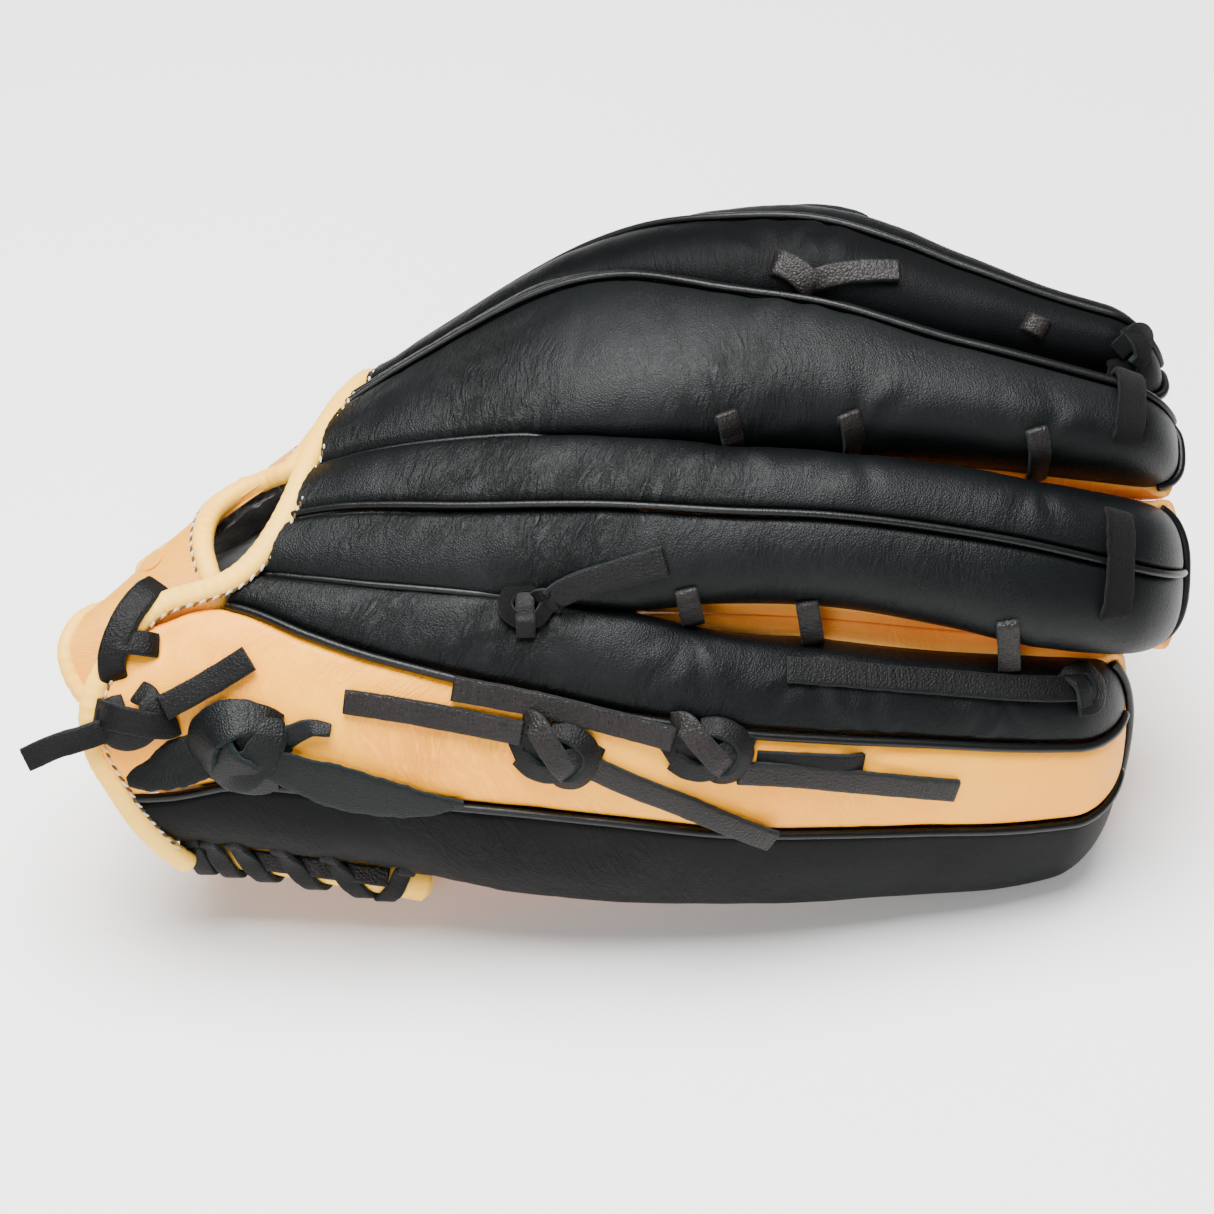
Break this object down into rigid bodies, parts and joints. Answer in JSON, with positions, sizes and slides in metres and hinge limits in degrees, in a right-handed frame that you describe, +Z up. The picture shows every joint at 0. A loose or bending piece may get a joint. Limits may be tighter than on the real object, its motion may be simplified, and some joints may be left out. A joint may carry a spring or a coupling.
{
  "type": "baseball glove",
  "caption": "Fielding baseball glove for the right hand, lying palm down, with laced fingers, a web, padded palm and a wrist strap, which folds shut at its heel.",
  "frame": {"origin": "Centre of the glove's bounding box, on the surface that it lies on", "axes": "+X from the heel to the fingertips, +Y from the little finger towards the thumb, +Z up out of the back of the glove"},
  "size_m": [0.3206, 0.2036, 0.1644],
  "materials": {
    "black_leather": "satin",
    "tan_leather": "satin",
    "black_welt": "satin",
    "felt": "matte",
    "lining_leather": "matte",
    "cream_binding": "satin",
    "rawhide_lace": "matte",
    "black_fleece": "matte",
    "brass": "satin"
  },
  "bodies": {
    "finger_side": {"pinky_back_panel": "black_leather", "pinky_side_panel": "tan_leather", "pinky_outer_panel": "black_leather", "pinky_inner_welt": "black_welt", "pinky_outer_welt": "black_welt", "ring_back_panel_middle_side": "black_leather", "ring_back_panel_pinky_side": "black_leather", "ring_welt": "black_welt", "middle_back_panel_index_side": "black_leather", "middle_back_panel_ring_side": "black_leather", "middle_welt": "black_welt", "index_back_panel_web_side": "black_leather", "index_back_panel_middle_side": "black_leather", "index_welt": "black_welt", "palm_leather_finger_side": "tan_leather", "palm_felt_finger_side": "felt", "palm_lining_finger_side": "lining_leather", "finger_pads": "felt", "pinky_heel_pad": "felt", "fingertip_piping": "black_welt", "back_binding_finger_side": "cream_binding", "palm_binding_finger_side": "cream_binding", "web_top_index_side": "black_leather", "web_post_index_side": "black_leather", "web_base_index_side": "tan_leather", "web_lacing_index_side": "rawhide_lace", "finger_gap_laces": "rawhide_lace", "fingertip_laces": "rawhide_lace", "pinky_tip_lace": "rawhide_lace", "finger_crotch_lace": "rawhide_lace", "side_laces": "rawhide_lace", "pinky_loop_strip": "black_leather", "heel_roll": "cream_binding", "heel_lace": "rawhide_lace", "strap_lace": "rawhide_lace", "strap_lace_knot": "rawhide_lace"},
    "thumb_side": {"thumb_back_panel": "black_leather", "thumb_side_panel": "tan_leather", "thumb_outer_panel": "black_leather", "thumb_inner_welt": "black_welt", "thumb_outer_welt": "black_welt", "palm_leather_thumb_side": "tan_leather", "palm_felt_thumb_side": "felt", "palm_lining_thumb_side": "lining_leather", "thumb_pad": "felt", "thumb_heel_pad": "felt", "thumb_tip_piping": "black_welt", "back_binding_thumb_side": "cream_binding", "palm_binding_thumb_side": "cream_binding", "wrist_strap": "tan_leather", "strap_fleece": "black_fleece", "strap_binding": "cream_binding", "strap_patch": "tan_leather", "strap_rivet": "brass", "web_top_thumb_side": "black_leather", "web_post_thumb_side": "black_leather", "web_base_thumb_side": "tan_leather", "web_lacing_thumb_side": "rawhide_lace"}
  },
  "joints": [
    {"name": "pocket_fold", "type": "hinge", "parent": "finger_side", "child": "thumb_side", "pos_m": [-0.12287, -0.01675, 0.06548], "axis": [-0.9169, -0.3644, -0.1632], "range_deg": [-3, 8], "stiffness_Nm_per_rad": 3}
  ]
}
